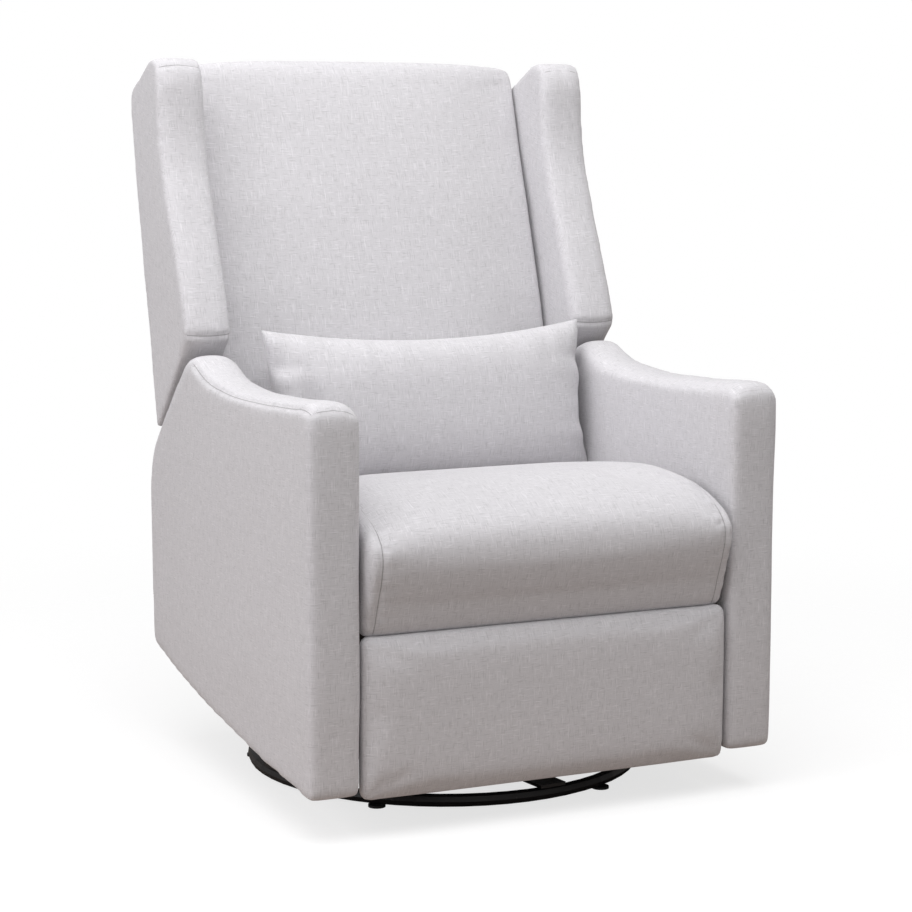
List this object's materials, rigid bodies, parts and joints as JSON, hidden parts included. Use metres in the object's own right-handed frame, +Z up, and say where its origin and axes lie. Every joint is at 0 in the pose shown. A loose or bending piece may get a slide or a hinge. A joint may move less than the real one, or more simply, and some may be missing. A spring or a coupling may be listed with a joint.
{
  "type": "glider nursery chair",
  "caption": "Upholstered wing-back glider recliner with S-curved arms, lumbar pillow and padded footrest, on a swivelling ring base.",
  "frame": {"origin": "on the floor, under the middle of the chair's overall box", "axes": "+Z up; the sitter faces -Y; +X is the right-hand side as seen from in front"},
  "size_m": [0.75, 0.785, 1.0947],
  "materials": {
    "cover_fabric": "fine slubbed linen-look weave, light warm grey",
    "black_steel": "satin black powder coat",
    "zinc_steel": "zinc-plated pressed steel",
    "timber": "raw plywood and sawn timber",
    "black_plastic": "matte black moulded plastic",
    "button_metal": "satin plated"
  },
  "bodies": {
    "base": {"base_ring": "black_steel", "floor_glide_1": "black_plastic", "floor_glide_2": "black_plastic", "floor_glide_3": "black_plastic", "floor_glide_4": "black_plastic", "floor_glide_5": "black_plastic", "base_crossbar_fore_aft": "black_steel", "base_crossbar_side": "black_steel", "lower_bearing_plate": "zinc_steel", "bearing_race": "zinc_steel"},
    "swivel_frame": {"swivel_plate": "black_steel", "stand_side_left": "black_steel", "stand_side_right": "black_steel"},
    "front_left_link": {"glide_link_front_left": "zinc_steel"},
    "front_right_link": {"glide_link_front_right": "zinc_steel"},
    "rear_left_link": {"glide_link_rear_left": "zinc_steel"},
    "rear_right_link": {"glide_link_rear_right": "zinc_steel"},
    "chair": {"side_plate_left": "black_steel", "side_plate_right": "black_steel", "cross_tube_front": "black_steel", "cross_tube_rear": "black_steel", "seat_front_rail": "timber", "seat_rear_rail": "timber", "seat_side_rail_left": "timber", "seat_side_rail_right": "timber", "seat_spring_unit": "zinc_steel", "seat_cushion": "cover_fabric", "arm_left": "cover_fabric", "arm_right": "cover_fabric", "arm_board_left": "timber", "arm_board_right": "timber", "control_plate": "black_plastic", "rear_panel": "cover_fabric", "power_inlet": "black_plastic", "actuator_motor": "black_plastic", "actuator_screw_tube": "black_steel"},
    "swing_left": {"footrest_swing_arm_left": "zinc_steel", "drive_tube": "zinc_steel"},
    "swing_right": {"footrest_swing_arm_right": "zinc_steel"},
    "guide_left": {"footrest_guide_link_left": "zinc_steel"},
    "guide_right": {"footrest_guide_link_right": "zinc_steel"},
    "front_left": {"footrest_front_link_left": "zinc_steel"},
    "front_right": {"footrest_front_link_right": "zinc_steel"},
    "control_left": {"footrest_control_link_left": "zinc_steel"},
    "control_right": {"footrest_control_link_right": "zinc_steel"},
    "footrest_panel": {"footrest_bracket_left": "zinc_steel", "footrest_bracket_right": "zinc_steel", "footrest_board": "timber", "footrest_pad": "cover_fabric"},
    "drive_nut": {"actuator_nut": "zinc_steel"},
    "back": {"back_bracket_left": "zinc_steel", "back_bracket_right": "zinc_steel", "back_board": "timber", "back_cushion": "cover_fabric", "back_rear_cover": "cover_fabric", "wing_left": "cover_fabric", "wing_right": "cover_fabric"},
    "open_button": {"button_open": "button_metal"},
    "close_button": {"button_close": "button_metal"},
    "pillow": {"lumbar_pillow": "cover_fabric"}
  },
  "joints": [
    {"name": "swivel", "type": "hinge", "parent": "base", "child": "swivel_frame", "pos_m": [0, -0.0085, 0.045], "axis": [0, 0, 1], "continuous": true},
    {"name": "glide", "type": "hinge", "parent": "swivel_frame", "child": "front_left_link", "pos_m": [-0.208, -0.0985, 0.215], "axis": [1, 0, 0], "range_deg": [-22, 22]},
    {"name": "glide_platform", "type": "hinge", "parent": "front_left_link", "child": "chair", "pos_m": [-0.208, -0.0985, 0.095], "axis": [1, 0, 0], "range_deg": [-22, 22]},
    {"name": "glide_front_right", "type": "hinge", "parent": "swivel_frame", "child": "front_right_link", "pos_m": [0.208, -0.0985, 0.215], "axis": [1, 0, 0], "range_deg": [-22, 22]},
    {"name": "glide_rear_left", "type": "hinge", "parent": "swivel_frame", "child": "rear_left_link", "pos_m": [-0.208, 0.0815, 0.215], "axis": [1, 0, 0], "range_deg": [-22, 22]},
    {"name": "glide_rear_right", "type": "hinge", "parent": "swivel_frame", "child": "rear_right_link", "pos_m": [0.208, 0.0815, 0.215], "axis": [1, 0, 0], "range_deg": [-22, 22]},
    {"name": "footrest", "type": "hinge", "parent": "chair", "child": "swing_left", "pos_m": [-0.2265, -0.2605, 0.258], "axis": [-1, 0, 0], "range_deg": [0, 112]},
    {"name": "footrest_swing_right", "type": "hinge", "parent": "chair", "child": "swing_right", "pos_m": [0.2265, -0.2605, 0.258], "axis": [-1, 0, 0], "range_deg": [0, 112]},
    {"name": "footrest_guide_left", "type": "hinge", "parent": "chair", "child": "guide_left", "pos_m": [-0.2385, -0.2925, 0.277], "axis": [-1, 0, 0], "range_deg": [0, 112]},
    {"name": "footrest_elbow_left", "type": "hinge", "parent": "swing_left", "child": "front_left", "pos_m": [-0.2325, -0.14941, 0.09169], "axis": [-1, 0, 0], "range_deg": [-92, 0]},
    {"name": "footrest_control_left", "type": "hinge", "parent": "swing_left", "child": "control_left", "pos_m": [-0.2205, -0.13118, 0.1094], "axis": [-1, 0, 0], "range_deg": [-96, 0]},
    {"name": "footrest_guide_right", "type": "hinge", "parent": "chair", "child": "guide_right", "pos_m": [0.2385, -0.2925, 0.277], "axis": [-1, 0, 0], "range_deg": [0, 112]},
    {"name": "footrest_elbow_right", "type": "hinge", "parent": "swing_right", "child": "front_right", "pos_m": [0.2325, -0.14941, 0.09169], "axis": [-1, 0, 0], "range_deg": [-92, 0]},
    {"name": "footrest_control_right", "type": "hinge", "parent": "swing_right", "child": "control_right", "pos_m": [0.2205, -0.13118, 0.1094], "axis": [-1, 0, 0], "range_deg": [-96, 0]},
    {"name": "footrest_tilt", "type": "hinge", "parent": "front_left", "child": "footrest_panel", "pos_m": [-0.2325, -0.33549, 0.16502], "axis": [-1, 0, 0], "range_deg": [0, 70]},
    {"name": "actuator_travel", "type": "slide", "parent": "chair", "child": "drive_nut", "axis": [0, -1, 0], "range_m": [0, 0.075]},
    {"name": "recline", "type": "hinge", "parent": "chair", "child": "back", "pos_m": [0, 0.1795, 0.3], "axis": [-1, 0, 0], "range_deg": [0, 36]},
    {"name": "press_open", "type": "slide", "parent": "chair", "child": "open_button", "axis": [-1, 0, 0], "range_m": [0, 0.0015], "stiffness_N_per_m": 500},
    {"name": "press_close", "type": "slide", "parent": "chair", "child": "close_button", "axis": [-1, 0, 0], "range_m": [0, 0.0015], "stiffness_N_per_m": 500},
    {"name": "pillow_lift", "type": "slide", "parent": "chair", "child": "pillow", "axis": [0, 0, 1], "range_m": [0, 0.3]}
  ],
  "couplings": [
    {"joint": "glide_platform", "follows": "glide", "ratio": -1},
    {"joint": "glide_front_right", "follows": "glide", "ratio": 1},
    {"joint": "glide_rear_left", "follows": "glide", "ratio": 1},
    {"joint": "glide_rear_right", "follows": "glide", "ratio": 1},
    {"joint": "footrest_swing_right", "follows": "footrest", "ratio": 1},
    {"joint": "footrest_guide_left", "follows": "footrest", "ratio": 1},
    {"joint": "footrest_elbow_left", "follows": "footrest", "ratio": -0.81696},
    {"joint": "footrest_control_left", "follows": "footrest", "ratio": -0.85},
    {"joint": "footrest_guide_right", "follows": "footrest", "ratio": 1},
    {"joint": "footrest_elbow_right", "follows": "footrest", "ratio": -0.81696},
    {"joint": "footrest_control_right", "follows": "footrest", "ratio": -0.85},
    {"joint": "footrest_tilt", "follows": "footrest", "ratio": 0.62054},
    {"joint": "actuator_travel", "follows": "footrest", "m_per_rad": 0.03817}
  ]
}
